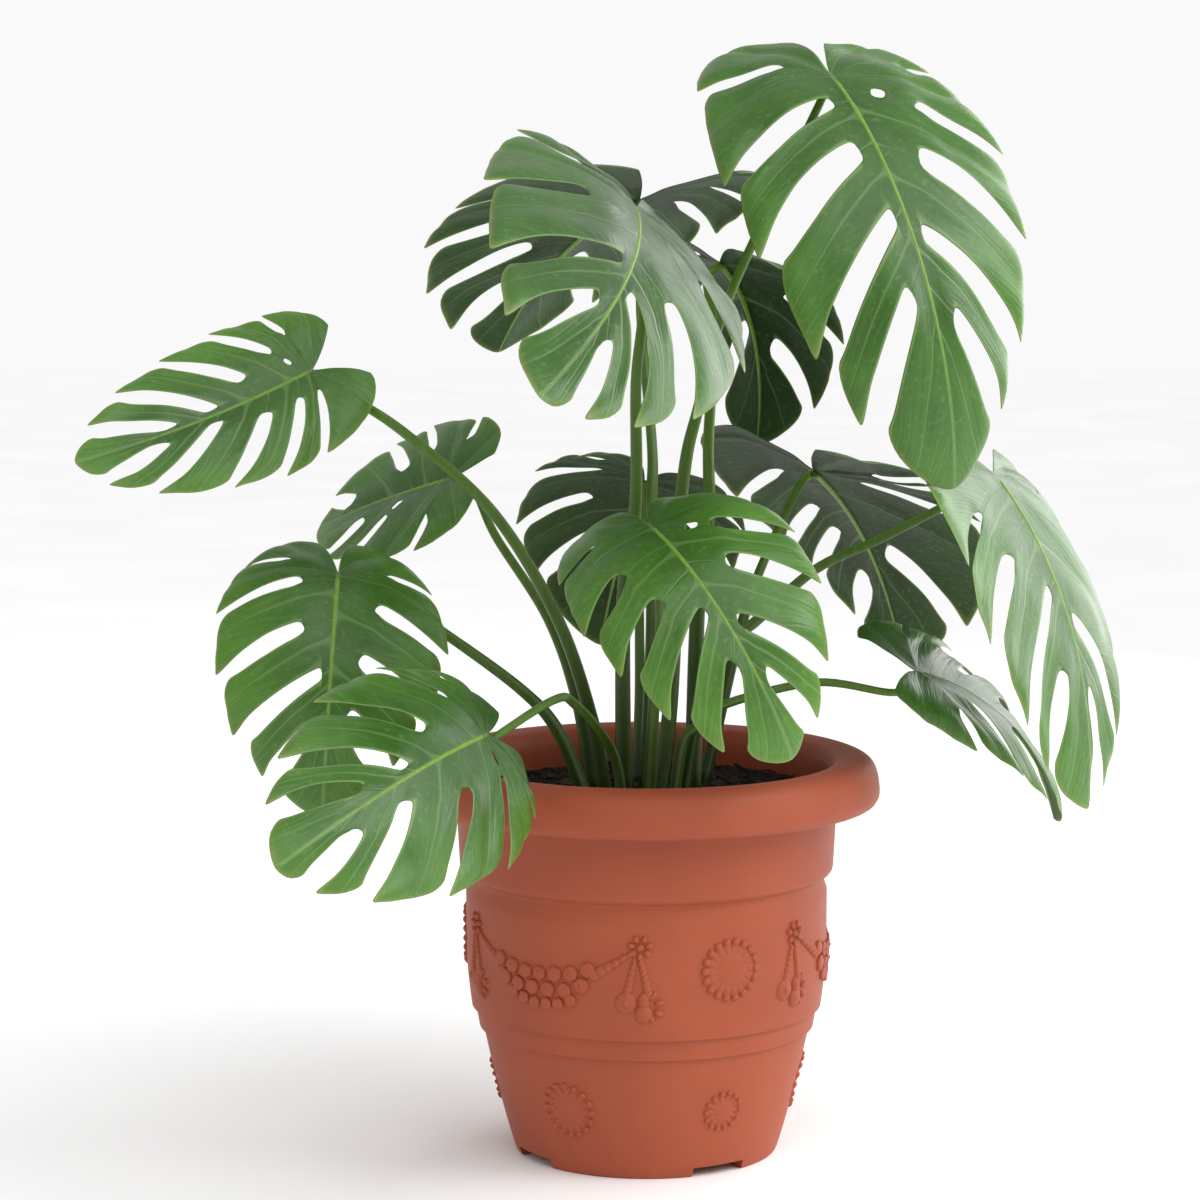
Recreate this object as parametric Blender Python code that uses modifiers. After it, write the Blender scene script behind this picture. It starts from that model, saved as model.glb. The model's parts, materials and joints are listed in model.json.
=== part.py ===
"""A potted monstera: a turned plastic planter, its soil, and thirteen split leaves, each on its own petiole.

The origin is the middle of the planter's underside, on its axis. +Z is up and -Y is the plant's best side.
"""

import math
from typing import NamedTuple

import bmesh
import bpy
from mathutils import Matrix, Vector

MM = 0.001

# Planter: radii and heights of its turned outline, in millimetres.
RIM_RADIUS = 200
RIM_TOP = 343
RIM_EDGE = 305
NECK_RADIUS = 160.5
WALL_RADIUS = 152
SHOULDER_HEIGHT = 242
BARREL_TOP = 185
FOOT_RADIUS = 113
TAPER = 1.8
WALL = 4.5
FLOOR_UNDERSIDE = 12
FLOOR_THICKNESS = 5
FOOT_RING = 12
PAD_RADIUS = 20
NOTCH_ANGLES = (32, 122, 212, 302)
NOTCH_WIDTH = 50
NOTCH_LENGTH = 40
NOTCH_HEIGHT = 8.5
TURN_STEPS = 40

SOIL_HEIGHT = 311
GAP = 0.3

# Leaves and petioles, coarse: what matters here is where they are.
BLADE = 1.6
COLUMNS = 17
ROWS = 5
ROW_SPREAD = 1.25
SLOT = 0.035
SLOT_MARGIN = 0.08
SPREAD_ANGLE = 52
VEIN_BOW = 0.12
PETIOLE_SIDES = 2
PETIOLE_TIP = 3.0
FOOT_CLEARANCE = 4
KNEE_DEPTH = 24
KNEE_BACK = 10
PATH_STEPS = 3

PLASTIC = ("terracotta plastic", (0.40, 0.094, 0.045), 0.45)
EARTH = ("potting soil", (0.022, 0.012, 0.009), 0.95)
LEAF = ("leaf blade", (0.078, 0.205, 0.040), 0.35)
STALK = ("leaf stalk", (0.114, 0.195, 0.036), 0.45)


class Leaf(NamedTuple):
    """One leaf. Lengths are in millimetres, angles in degrees, and shares in percent.

    The junction is where the petiole meets the blade. Heading turns from -Y towards +X, pitch is the
    midrib's slope there, and roll turns the blade about its midrib. Pairs give the right half first, then
    the left half, as seen from above the blade looking towards its tip. A slot is (share of the margin,
    share of the half-width where it starts).
    """

    name: str
    junction: tuple
    heading: float
    pitch: float
    roll: float
    length: float
    width: float
    waist: float
    fold: tuple
    curl: tuple
    droop: float
    sway: float
    lobes: tuple
    slots: tuple


LEAVES = (
    Leaf("top_right", (150, -50, 920), 25, -30, 15, 400, 70, 34, (10, -10), (50, 30), 90, 0, (165, 145), (
        ((35, 40), (59, 15), (70, 15), (81, 10), (88, 20)),
        ((31, 75), (57, 45), (71, 25), (83, 10), (90, 25)))),
    Leaf("top_front", (-10, -70, 810), 5, -15, -40, 360, 75, 40, (0, 5), (35, 30), 35, 15, (150, 150), (
        ((24, 30), (61, 40), (80, 10), (90, 20)),
        ((38, 60), (60, 50), (79, 35), (88, 10), (94, 35)))),
    Leaf("top_back", (-5, 120, 815), -145, -15, -5, 300, 90, 44, (10, 20), (30, 10), 30, 5, (135, 135), (
        ((36, 60), (55, 55), (70, 40), (84, 30)),
        ((52, 50), (68, 40), (80, 30), (90, 40)))),
    Leaf("upper_back", (65, 130, 760), 150, -25, 5, 200, 100, 44, (10, 15), (30, -15), 80, 5, (135, 120), (
        ((40, 60), (65, 45), (85, 25)),
        ((45, 60), (65, 40), (83, 10)))),
    Leaf("far_left", (-280, -50, 675), -65, -25, -45, 215, 80, 34, (10, 10), (25, 25), 0, 15, (130, 130), (
        ((33, 60), (53, 40), (69, 25), (82, 10), (91, 15)),
        ((44, 30), (56, 25), (68, 25), (82, 15), (91, 30)))),
    Leaf("left_back", (-170, 50, 575), -125, -15, -50, 175, 85, 40, (15, 15), (35, 30), 15, 5, (155, 135), (
        ((32, 65), (59, 50), (73, 35), (92, 40)),
        ((42, 60), (72, 40), (83, 40)))),
    Leaf("left", (-260, -50, 505), 0, -35, -5, 235, 95, 34, (5, -10), (40, 25), 100, 0, (150, 165), (
        ((29, 55), (52, 30), (69, 25), (81, 10), (89, 30)),
        ((38, 55), (62, 35), (77, 25), (88, 25)))),
    Leaf("low_left", (-130, -225, 395), -20, 0, -45, 280, 80, 34, (5, -15), (50, 30), 40, 0, (155, 140), (
        ((28, 70), (49, 45), (71, 25), (84, 10), (91, 25)),
        ((18, 60), (48, 35), (69, 30), (85, 20), (93, 40)))),
    Leaf("middle_back", (0, 150, 565), -170, -25, 15, 235, 90, 40, (5, 5), (35, 35), 45, 5, (140, 155), (
        ((40, 55), (62, 40), (78, 30), (90, 40)),
        ((20, 60), (40, 45), (66, 40), (82, 30)))),
    Leaf("front", (0, -150, 555), 25, -15, 25, 255, 85, 34, (10, 0), (45, 30), 100, -5, (165, 145), (
        ((44, 55), (63, 50), (73, 40), (82, 15), (90, 25)),
        ((25, 80), (58, 40), (72, 30), (85, 15), (93, 25)))),
    Leaf("right_back", (150, 150, 575), 150, -25, 15, 290, 90, 44, (5, 10), (-15, 30), 35, 5, (145, 120), (
        ((31, 60), (38, 45), (53, 30), (85, 20)),
        ((55, 50), (71, 45), (79, 40), (89, 45)))),
    Leaf("right", (295, 0, 585), 40, -40, -5, 310, 90, 40, (5, -10), (-15, 30), 55, -5, (120, 125), (
        ((54, 55), (66, 45), (79, 15), (87, 40)),
        ((31, 60), (60, 70), (85, 10), (94, 20)))),
    Leaf("low_right", (230, 0, 415), 110, -15, 20, 225, 90, 38, (10, 10), (40, 15), 60, 0, (120, 125), (
        ((41, 65), (59, 40), (73, 45), (87, 30)),
        ((36, 60), (56, 65), (67, 30), (80, 30)))),
)

# Each petiole's radius at the soil and its route in millimetres, from its place on the soil to the bend under
# its leaf. The first point is (x, y), on the soil.
PETIOLES = {
    "top_right": (8.0, ((8, -32), (20, -20, 390), (30, 0, 570), (45, 5, 645), (70, 10, 735))),
    "top_front": (7.5, ((-20, -20), (-20, -35, 480), (-10, -45, 565), (-10, -55, 665), (-5, -60, 740))),
    "top_back": (7.0, ((0, 20), (5, 40, 435), (5, 60, 555), (5, 70, 605), (-5, 95, 730))),
    "upper_back": (8.0, ((40, 15), (45, 60, 460), (55, 80, 540), (55, 95, 605), (60, 105, 700))),
    "far_left": (7.0, ((-36, 0), (-45, 0, 365), (-75, -20, 460), (-130, -40, 555), (-200, -50, 620),
                       (-245, -45, 650))),
    "left_back": (6.0, ((-47, 20), (-60, 30, 385), (-85, 40, 455), (-130, 50, 525))),
    "left": (6.5, ((-51, -20), (-75, -20, 365), (-105, -20, 400), (-165, -20, 445), (-210, -25, 475))),
    "low_left": (5.0, ((-20, -52), (-30, -60, 355), (-60, -100, 400), (-80, -145, 410))),
    "middle_back": (6.0, ((-8, 55), (-5, 80, 375), (-5, 110, 460))),
    "front": (6.0, ((0, -70), (5, -90, 405), (10, -105, 475))),
    "right_back": (6.0, ((50, 42), (80, 70, 430), (100, 90, 490))),
    "right": (6.0, ((30, -15), (55, -10, 430), (90, 0, 455), (145, 20, 500), (200, 30, 525),
                    (255, 20, 555))),
    "low_right": (5.5, ((22, -50), (30, -45, 360), (45, -40, 375), (65, -30, 390), (145, 0, 405))),
}


def clear_scene():
    for thing in list(bpy.data.objects):
        bpy.data.objects.remove(thing)


def collection(name):
    made = bpy.data.collections.new(name)
    bpy.context.scene.collection.children.link(made)
    return made


def material(recipe):
    name, colour, roughness = recipe
    made = bpy.data.materials.new(name)
    made.use_nodes = True
    shader = made.node_tree.nodes["Principled BSDF"]
    shader.inputs["Base Color"].default_value = (*colour, 1)
    shader.inputs["Roughness"].default_value = roughness
    return made


def new_object(name, data, where, look=None):
    made = bpy.data.objects.new(name, data)
    where.objects.link(made)
    if look is not None:
        data.materials.append(look)
    return made


def turned(name, profile, where, look):
    """A solid of revolution: the closed profile of (radius, height) points, turned about Z."""
    mesh = bpy.data.meshes.new(name)
    points = [(radius * MM, 0, height * MM) for radius, height in profile]
    mesh.from_pydata(points, [(i, i + 1) for i in range(len(points) - 1)], [])
    made = new_object(name, mesh, where, look)
    screw = made.modifiers.new("turn", "SCREW")
    screw.steps = screw.render_steps = TURN_STEPS
    screw.use_merge_vertices = True
    screw.merge_threshold = 0.00001
    return made


def barrel_radius(height):
    """The planter's outside between its foot and its straight neck: a curve that closes towards the foot."""
    if height >= BARREL_TOP:
        return WALL_RADIUS
    fall = (BARREL_TOP - height) / BARREL_TOP
    return WALL_RADIUS - (WALL_RADIUS - FOOT_RADIUS) * fall**TAPER


def planter(where, look):
    """The planter: foot ring, tapering barrel, shouldered neck and a rolled rim, with a hollow inside."""
    barrel = [(barrel_radius(h), h) for h in range(BARREL_TOP, 0, -30)]
    rim = [
        (NECK_RADIUS - 3.5, RIM_TOP - 13),
        (NECK_RADIUS + 1, RIM_TOP - 4),
        (NECK_RADIUS + 9, RIM_TOP - 1),
        (NECK_RADIUS + 22, RIM_TOP),
        (NECK_RADIUS + 33, RIM_TOP - 5),
        (RIM_RADIUS - 1.5, RIM_TOP - 16),
        (RIM_RADIUS, RIM_TOP - 31),
        (RIM_RADIUS - 3, RIM_EDGE),
        (NECK_RADIUS + 3, RIM_EDGE - 3),
    ]
    neck = [
        (NECK_RADIUS, RIM_EDGE - 5),
        (NECK_RADIUS, SHOULDER_HEIGHT + 6),
        (WALL_RADIUS, SHOULDER_HEIGHT - 6),
    ]
    foot = [
        (FOOT_RADIUS, 0),
        (FOOT_RADIUS - FOOT_RING, 0),
        (FOOT_RADIUS - FOOT_RING, FLOOR_UNDERSIDE),
        (PAD_RADIUS, FLOOR_UNDERSIDE),
        (PAD_RADIUS, 0),
        (0, 0),
    ]
    floor = FLOOR_UNDERSIDE + FLOOR_THICKNESS
    inside = [(0, floor)] + [(barrel_radius(h) - WALL, h) for h in range(floor, BARREL_TOP, 45)]
    inside += [(WALL_RADIUS - WALL, BARREL_TOP), (WALL_RADIUS - WALL, SHOULDER_HEIGHT - 4)]
    inside += [(NECK_RADIUS - 3.5, SHOULDER_HEIGHT + 8)]
    outside = rim + neck + barrel + foot
    return turned("pot", inside + outside, where, look)


def cut_notches(pot, where):
    """Four drainage notches across the foot ring, each cut by a block that stays clear of the central pad."""
    middle = FOOT_RADIUS - FOOT_RING / 2
    for number, angle in enumerate(NOTCH_ANGLES):
        mesh = bpy.data.meshes.new("notch")
        cube = bmesh.new()
        bmesh.ops.create_cube(cube, size=1)
        size = Vector((NOTCH_WIDTH, NOTCH_LENGTH, 2 * NOTCH_HEIGHT)) * MM
        bmesh.ops.scale(cube, vec=size, verts=cube.verts)
        bmesh.ops.translate(cube, vec=Vector((0, -middle, 0)) * MM, verts=cube.verts)
        cube.to_mesh(mesh)
        cube.free()
        block = new_object(f"notch_{number}", mesh, where)
        block.rotation_euler.z = math.radians(angle)
        block.hide_render = True
        block.display_type = "WIRE"
        cut = pot.modifiers.new(f"notch {number}", "BOOLEAN")
        cut.operation = "DIFFERENCE"
        cut.object = block


def soil(where, look):
    """The soil, which fills the planter up to a little under its rim."""
    floor = FLOOR_UNDERSIDE + FLOOR_THICKNESS + GAP
    heights = [floor + (BARREL_TOP - floor) * step / 4 for step in range(5)]
    side = [(barrel_radius(h) - WALL - 2, h) for h in heights]
    side += [(WALL_RADIUS - WALL - 1, SHOULDER_HEIGHT - 4), (NECK_RADIUS - 4.5, SHOULDER_HEIGHT + 10)]
    side += [(NECK_RADIUS - 4.5, SOIL_HEIGHT - GAP - 2)]
    profile = [(0, SOIL_HEIGHT - GAP), (NECK_RADIUS - 8, SOIL_HEIGHT - GAP)] + side[::-1] + [(0, floor)]
    return turned("soil", profile, where, look)


def columns_of(slots):
    """The margin shares of a half-blade's grid lines, and for each strip between two lines the slot's start.

    Every slot takes one strip, and the fingers between them share the rest by their widths.
    """
    fingers = []
    start = 0.0
    for share, _ in slots:
        fingers.append((start, share / 100))
        start = share / 100 + SLOT
    fingers.append((start, 1.0))
    spare = COLUMNS - len(slots) - len(fingers)
    strips = [1] * len(fingers)
    for _ in range(spare):
        widest = max(range(len(fingers)), key=lambda i: (fingers[i][1] - fingers[i][0]) / strips[i])
        strips[widest] += 1
    lines, ends, opens = [0.0], [0.0], []
    for i, (low, high) in enumerate(fingers):
        for step in range(1, strips[i] + 1):
            lines.append(low + (high - low) * step / strips[i])
            ends.append(step / strips[i])
            opens.append(None)
        if i < len(slots):
            lines.append(high + SLOT)
            ends.append(0.0)
            opens.append(slots[i][1] / 100)
    return lines, ends, opens


def margin_share(across, first):
    """How far out a finger reaches: it ends in a point on its outer side and is rounded on its inner side."""
    back = 1 - across
    if first:
        return 1 - 0.30 * back**2
    return 1 - 0.16 * back**2.2


def midrib_start(share):
    """Where a vein leaves the midrib, as a share of the leaf's length."""
    return 0.03 * share + 0.67 * max(0.0, 2 * share - 1) ** 1.5


def on_flat_blade(leaf, half, share, start, out):
    """The place (along, across) on the flattened half-blade, in leaf lengths."""
    angle = max(1e-9, math.radians(leaf.lobes[half]) * (1 - share))
    waist = leaf.waist / 100
    reach = waist + (1 - waist) * math.exp(-((angle / math.radians(SPREAD_ANGLE)) ** 1.3))
    far = Vector((reach * math.cos(angle), reach * math.sin(angle) * leaf.width / 100))
    root = Vector((start, 0))
    run = far - root
    bow = VEIN_BOW * min(1.0, (1 - share) / 0.15)
    bend = root + run / 2 + bow * Vector((-run.y, run.x))
    return (1 - out) ** 2 * root + 2 * out * (1 - out) * bend + out**2 * far


def leaf_axes(leaf):
    heading, pitch = math.radians(leaf.heading), math.radians(leaf.pitch)
    level = Vector((math.sin(heading), -math.cos(heading), 0))
    ahead = level * math.cos(pitch) + Vector((0, 0, math.sin(pitch)))
    up = Vector((0, 0, math.cos(pitch))) - level * math.sin(pitch)
    up = Matrix.Rotation(math.radians(leaf.roll), 3, ahead) @ up
    return ahead, up, ahead.cross(up)


def in_space(leaf, half, along, across):
    """Bends the blade: each half folds up and curls down, and the midrib droops and sways along an arc."""
    ahead, up, right = leaf_axes(leaf)
    length = leaf.length * MM
    fold, curl = math.radians(leaf.fold[half]), math.radians(leaf.curl[half])
    turn = 2 * curl / length
    end = fold - turn * across * length
    outward = (math.sin(fold) - math.sin(end)) / turn
    rise = (math.cos(end) - math.cos(fold)) / turn
    side = right if half == 0 else -right
    droop, sway = math.radians(leaf.droop), math.radians(leaf.sway)
    total = math.hypot(droop, sway) or 1e-6
    inward = (sway * right - droop * up) / total
    axis = ahead.cross(inward)
    angle = total * along
    middle = (ahead * math.sin(angle) + inward * (1 - math.cos(angle))) * length / total
    offset = Matrix.Rotation(angle, 3, axis) @ (side * outward + up * rise)
    return Vector(leaf.junction) * MM + middle + offset


def blade(leaf, where, look):
    """One blade: a grid with its middle row on the midrib, moved onto the leaf, with the slots taken out."""
    mesh = bpy.data.meshes.new(leaf.name)
    grid = bmesh.new()
    bmesh.ops.create_grid(grid, x_segments=COLUMNS, y_segments=2 * ROWS, size=0.5)
    halves = [columns_of(slots) for slots in leaf.slots]
    starts = [(midrib_start(a) + midrib_start(b)) / 2 for a, b in zip(halves[0][0], halves[1][0])]
    cell = {}
    for vert in grid.verts:
        column = round((vert.co.x + 0.5) * COLUMNS)
        row = round(vert.co.y * 2 * ROWS)
        cell[vert] = (column, row)
    levels = [(step / ROWS) ** ROW_SPREAD for step in range(ROWS + 1)]
    spare = []
    for face in grid.faces:
        column = min(cell[vert][0] for vert in face.verts)
        row = min(abs(cell[vert][1]) for vert in face.verts)
        half = 0 if sum(cell[vert][1] for vert in face.verts) > 0 else 1
        slot = halves[half][2][column]
        if slot is not None and row >= 1 and levels[row] > slot - SLOT_MARGIN:
            spare.append(face)
    for vert, (column, row) in cell.items():
        half = 0 if row >= 0 else 1
        lines, ends, opens = halves[half]
        first = all(strip is None for strip in opens[:column])
        out = levels[abs(row)] * margin_share(ends[column], first)
        along, across = on_flat_blade(leaf, half, lines[column], starts[column], out)
        vert.co = in_space(leaf, half, along, across)
    bmesh.ops.delete(grid, geom=spare, context="FACES")
    tip = [vert for vert, (column, _) in cell.items() if vert.is_valid and column == COLUMNS]
    bmesh.ops.remove_doubles(grid, verts=tip, dist=0.00001)
    bmesh.ops.recalc_face_normals(grid, faces=grid.faces)
    grid.to_mesh(mesh)
    grid.free()
    made = new_object(f"leaf_{leaf.name}", mesh, where, look)
    shell = made.modifiers.new("thickness", "SOLIDIFY")
    shell.thickness = BLADE * MM
    shell.offset = 0
    mesh.shade_smooth()
    return made


def smooth_path(points, steps):
    """A smooth line through the points (Catmull-Rom), with the given number of steps between neighbours."""
    points = [Vector(point) for point in points]
    guides = [2 * points[0] - points[1]] + points + [2 * points[-1] - points[-2]]
    line = []
    for i in range(len(points) - 1):
        a, b, c, d = guides[i : i + 4]
        for step in range(steps):
            t = step / steps
            move = (c - a) * t + (2 * a - 5 * b + 4 * c - d) * t**2 + (3 * b - a - 3 * c + d) * t**3
            line.append(b + move / 2)
    return line + [points[-1]]


def petiole(leaf, where, look):
    """A leaf stalk, thickest at the soil, that stops just short of the underside of its blade."""
    radius, route = PETIOLES[leaf.name]
    foot = (*route[0], SOIL_HEIGHT + FOOT_CLEARANCE)
    ahead, up, _ = leaf_axes(leaf)
    bend = Vector(leaf.junction) - up * KNEE_DEPTH - ahead * KNEE_BACK
    top = Vector(leaf.junction) - up * (PETIOLE_TIP + BLADE / 2 + GAP)
    line = smooth_path([foot, *route[1:], bend, top], PATH_STEPS)
    curve = bpy.data.curves.new(f"petiole_{leaf.name}", "CURVE")
    curve.dimensions = "3D"
    spline = curve.splines.new("POLY")
    spline.points.add(len(line) - 1)
    for i, (point, place) in enumerate(zip(spline.points, line)):
        share = i / (len(line) - 1)
        point.co = (*(place * MM), 1)
        point.radius = (radius + (PETIOLE_TIP - radius) * share**0.7) / PETIOLE_TIP
    curve.bevel_depth = PETIOLE_TIP * MM
    curve.bevel_resolution = PETIOLE_SIDES
    curve.use_fill_caps = True
    return new_object(f"petiole_{leaf.name}", curve, where, look)


def main():
    clear_scene()
    plant = collection("potted_monstera")
    cutters = collection("cutters")
    plastic = material(PLASTIC)
    pot = planter(plant, plastic)
    cut_notches(pot, cutters)
    soil(plant, material(EARTH))
    green = material(LEAF)
    stalk = material(STALK)
    for leaf in LEAVES:
        blade(leaf, plant, green)
        petiole(leaf, plant, stalk)


main()
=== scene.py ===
# %% [markdown]
# # A potted monstera, finished in Blender
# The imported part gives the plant's true places and sizes: a turned planter, its soil, thirteen split leaves
# and their stalks. This lesson models the same things finely and gives each its own finish.

# %% Load the frame and note its box
import json
import math
import random
from typing import NamedTuple

import bmesh
import bpy
from mathutils import Matrix, Vector, noise

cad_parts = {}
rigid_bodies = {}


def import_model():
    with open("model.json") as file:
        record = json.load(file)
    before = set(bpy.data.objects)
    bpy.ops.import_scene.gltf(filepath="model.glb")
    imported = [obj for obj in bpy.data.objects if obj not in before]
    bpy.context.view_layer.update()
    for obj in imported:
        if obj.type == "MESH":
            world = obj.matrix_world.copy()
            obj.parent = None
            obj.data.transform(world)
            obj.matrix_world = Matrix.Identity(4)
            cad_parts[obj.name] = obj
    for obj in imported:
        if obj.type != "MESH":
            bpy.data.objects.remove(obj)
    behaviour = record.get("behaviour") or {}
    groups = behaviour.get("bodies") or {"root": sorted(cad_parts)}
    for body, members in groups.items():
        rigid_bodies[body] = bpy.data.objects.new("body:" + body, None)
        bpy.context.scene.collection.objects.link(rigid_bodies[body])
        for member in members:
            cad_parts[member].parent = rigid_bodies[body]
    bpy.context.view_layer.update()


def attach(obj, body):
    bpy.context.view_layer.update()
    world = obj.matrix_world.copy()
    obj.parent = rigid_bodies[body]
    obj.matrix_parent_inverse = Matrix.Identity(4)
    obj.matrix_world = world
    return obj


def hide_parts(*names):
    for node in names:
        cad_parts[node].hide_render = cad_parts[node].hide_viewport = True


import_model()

MM = 0.001

# %% [markdown]
# Every piece is a mesh that rides on the one body and takes its finish from a slot. One helper turns a
# finished bmesh into such a piece. Smooth shading with a sharp-edge angle keeps turned corners crisp.

# %% Make a piece
def piece(name, shape, look, node=None, sharp=math.radians(40)):
    """An object made from a bmesh, which rides on the plant and stands for a CAD node."""
    mesh = bpy.data.meshes.new(name)
    shape.to_mesh(mesh)
    shape.free()
    made = bpy.data.objects.new(name, mesh)
    bpy.context.scene.collection.objects.link(made)
    mesh.materials.append(look)
    mesh.shade_smooth()
    if sharp:
        mesh.set_sharp_from_angle(angle=sharp)
    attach(made, "root")
    if node:
        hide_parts(node)
    return made


print("pieces will ride on body:", "root")

# %% [markdown]
# The camera stands three metres off with a long lens, a little above the leaves and looking slightly down,
# so the plant keeps its proportions. The lens is what a product photographer would choose for a tall pot.

# %% Camera
camera = bpy.data.objects.new("camera", bpy.data.cameras.new("camera"))
camera.data.lens = 110
camera.data.sensor_width = 36
camera.location = (-0.040, -3.11, 0.848)
camera.rotation_euler = (math.radians(90 - 6.82), 0, 0)
bpy.context.scene.collection.objects.link(camera)
bpy.context.scene.camera = camera
print("camera looks from", tuple(round(v, 2) for v in camera.location))

# %% [markdown]
# Colours are given as the hex values that a paint or web page uses, which hold sRGB. The shaders want linear
# light, so one function converts them. A second function adds any shader node with its settings and links.

# %% Colours and nodes
def linear(code):
    """A hex colour as linear red, green, blue and alpha."""
    parts = [int(code[i : i + 2], 16) / 255 for i in (1, 3, 5)]
    return (*(c / 12.92 if c <= 0.04045 else ((c + 0.055) / 1.055) ** 2.4 for c in parts), 1)


def add(look, kind, inputs=None, **settings):
    """Adds a shader node. An input is given a value, or another node's output to link from."""
    tree = look.node_tree
    made = tree.nodes.new("ShaderNode" + kind)
    for name, value in settings.items():
        setattr(made, name, value)
    for name, value in (inputs or {}).items():
        if isinstance(value, bpy.types.NodeSocket):
            tree.links.new(value, made.inputs[name])
        else:
            made.inputs[name].default_value = value
    return made


def finish(name, roughness, ior):
    """A material with the two values that are the same all over it, and its shader."""
    look = bpy.data.materials.new(name)
    look.use_nodes = True
    shader = look.node_tree.nodes["Principled BSDF"]
    shader.inputs["Roughness"].default_value = roughness
    shader.inputs["IOR"].default_value = ior
    return look, shader


def stops(ramp, *points):
    """Sets a colour ramp's stops from (position, hex) pairs."""
    elements = ramp.color_ramp.elements
    while len(elements) < len(points):
        elements.new(0.5)
    for element, (position, code) in zip(elements, points):
        element.position = position
        element.color = linear(code)


print("mid grey #808080 is", round(linear("#808080")[0], 3), "in linear light")

# %% [markdown]
# The studio is a pale floor under an even white sky, with a weak soft sun from above. A large panel stands
# behind on the right and a small one on the right: their reflections lay the grey sheen on the waxy leaves.
# The camera sees the sky as bright as the far floor.

# %% Floor, sky and lights
sky = bpy.data.worlds.new("studio sky")
sky.use_nodes = True
bpy.context.scene.world = sky
background = sky.node_tree.nodes["Background"]
white = add(sky, "Background", {"Color": (1, 1, 1, 1), "Strength": 0.95})
background.inputs["Color"].default_value = (1, 1, 1, 1)
background.inputs["Strength"].default_value = 0.68
seen = add(sky, "LightPath").outputs["Is Camera Ray"]
both = add(sky, "MixShader", {0: seen, 1: background.outputs[0], 2: white.outputs[0]})
sky.node_tree.links.new(both.outputs[0], sky.node_tree.nodes["World Output"].inputs["Surface"])
bpy.context.scene.view_settings.view_transform = "Standard"

floor_mesh = bmesh.new()
bmesh.ops.create_grid(floor_mesh, x_segments=1, y_segments=1, size=12)
floor_data = bpy.data.meshes.new("floor")
floor_mesh.to_mesh(floor_data)
floor_mesh.free()
floor = bpy.data.objects.new("floor", floor_data)
bpy.context.scene.collection.objects.link(floor)
paper, paper_shader = finish("white studio paper", 0.9, 1.45)
grain = add(paper, "TexNoise", {"Vector": add(paper, "TexCoord").outputs["Object"], "Scale": 3.0})
tint = add(paper, "ValToRGB", {"Fac": grain.outputs["Fac"]})
stops(tint, (0.3, "#f7f7f7"), (0.7, "#fbfbfb"))
paper.node_tree.links.new(tint.outputs["Color"], paper_shader.inputs["Base Color"])
floor_data.materials.append(paper)


def lamp(name, kind, energy, where, target, **settings):
    """A light aimed at a target point."""
    data = bpy.data.lights.new(name, kind)
    data.energy = energy
    for key, value in settings.items():
        setattr(data, key, value)
    made = bpy.data.objects.new(name, data)
    made.location = where
    made.rotation_euler = (Vector(target) - Vector(where)).to_track_quat("-Z", "Y").to_euler()
    bpy.context.scene.collection.objects.link(made)


lamp("sun", "SUN", 1.3, (0.8, -1.2, 2.3), (0, 0, 0.4), angle=math.radians(60))
lamp("panel", "AREA", 40, (1.9, 1.25, 1.25), (0.1, 0, 0.65), shape="RECTANGLE", size=2.6, size_y=1.9)
lamp("side panel", "AREA", 26, (2.2, -0.6, 1.7), (0.2, 0, 0.9), shape="RECTANGLE", size=1.3, size_y=1.2)

# %% [markdown]
# ## The planter
# The real planter is injection-moulded polypropylene: a matte, evenly coloured plastic. The mould's fine
# spark grain breaks the highlight up, and the colour drifts a little where the plastic flowed. The grain is
# near 0.1 mm on the real pot; it is drawn at about 1 mm here so that it shows.

# %% Terracotta plastic
plastic, shader = finish("terracotta polypropylene", 0.58, 1.45)
place = add(plastic, "TexCoord").outputs["Object"]
drift = add(plastic, "TexNoise", {"Vector": place, "Scale": 9.0, "Detail": 3.0})
tint = add(plastic, "ValToRGB", {"Fac": drift.outputs["Fac"]})
stops(tint, (0.3, "#9a4527"), (0.7, "#a44d2d"))
GRAIN_MM = 1.1
spark = add(plastic, "TexNoise", {"Vector": place, "Scale": 1000 / GRAIN_MM, "Detail": 2.0})
relief = add(plastic, "Bump", {"Height": spark.outputs["Fac"], "Strength": 0.10, "Distance": 0.0004})
shine = add(plastic, "MapRange", {"Value": drift.outputs["Fac"], "To Min": 0.54, "To Max": 0.64})
plastic.node_tree.links.new(tint.outputs["Color"], shader.inputs["Base Color"])
plastic.node_tree.links.new(shine.outputs["Result"], shader.inputs["Roughness"])
plastic.node_tree.links.new(relief.outputs["Normal"], shader.inputs["Normal"])
print("plastic grain", GRAIN_MM, "mm")

# %% [markdown]
# Moulded and thrown round things are made by turning: half of the outline is drawn once and spun about the
# axis. The outline is given in millimetres as (radius, height), and a smooth curve through the rim's points
# makes its roll. Two small steps in the barrel divide its bands of decoration.

# %% The planter's outline
class Pot:
    """Radii and heights of the planter, in millimetres."""
    rim_radius, rim_top, rim_edge = 200, 343, 305
    neck, wall, shoulder = 160.5, 152, 242
    barrel_top, foot = 185, 113
    thickness, underside, floor = 4.5, 12, 5
    foot_ring, pad = 12, 20


def smooth_path(points, steps):
    """A smooth line through the points (Catmull-Rom), with a number of steps between neighbours."""
    points = [Vector(point) for point in points]
    guides = [2 * points[0] - points[1]] + points + [2 * points[-1] - points[-2]]
    line = []
    for i in range(len(points) - 1):
        a, b, c, d = guides[i : i + 4]
        for step in range(steps):
            t = step / steps
            ahead = (c - a) * t + (2 * a - 5 * b + 4 * c - d) * t**2 + (3 * b - a - 3 * c + d) * t**3
            line.append(b + ahead / 2)
    return line + [points[-1]]


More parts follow.
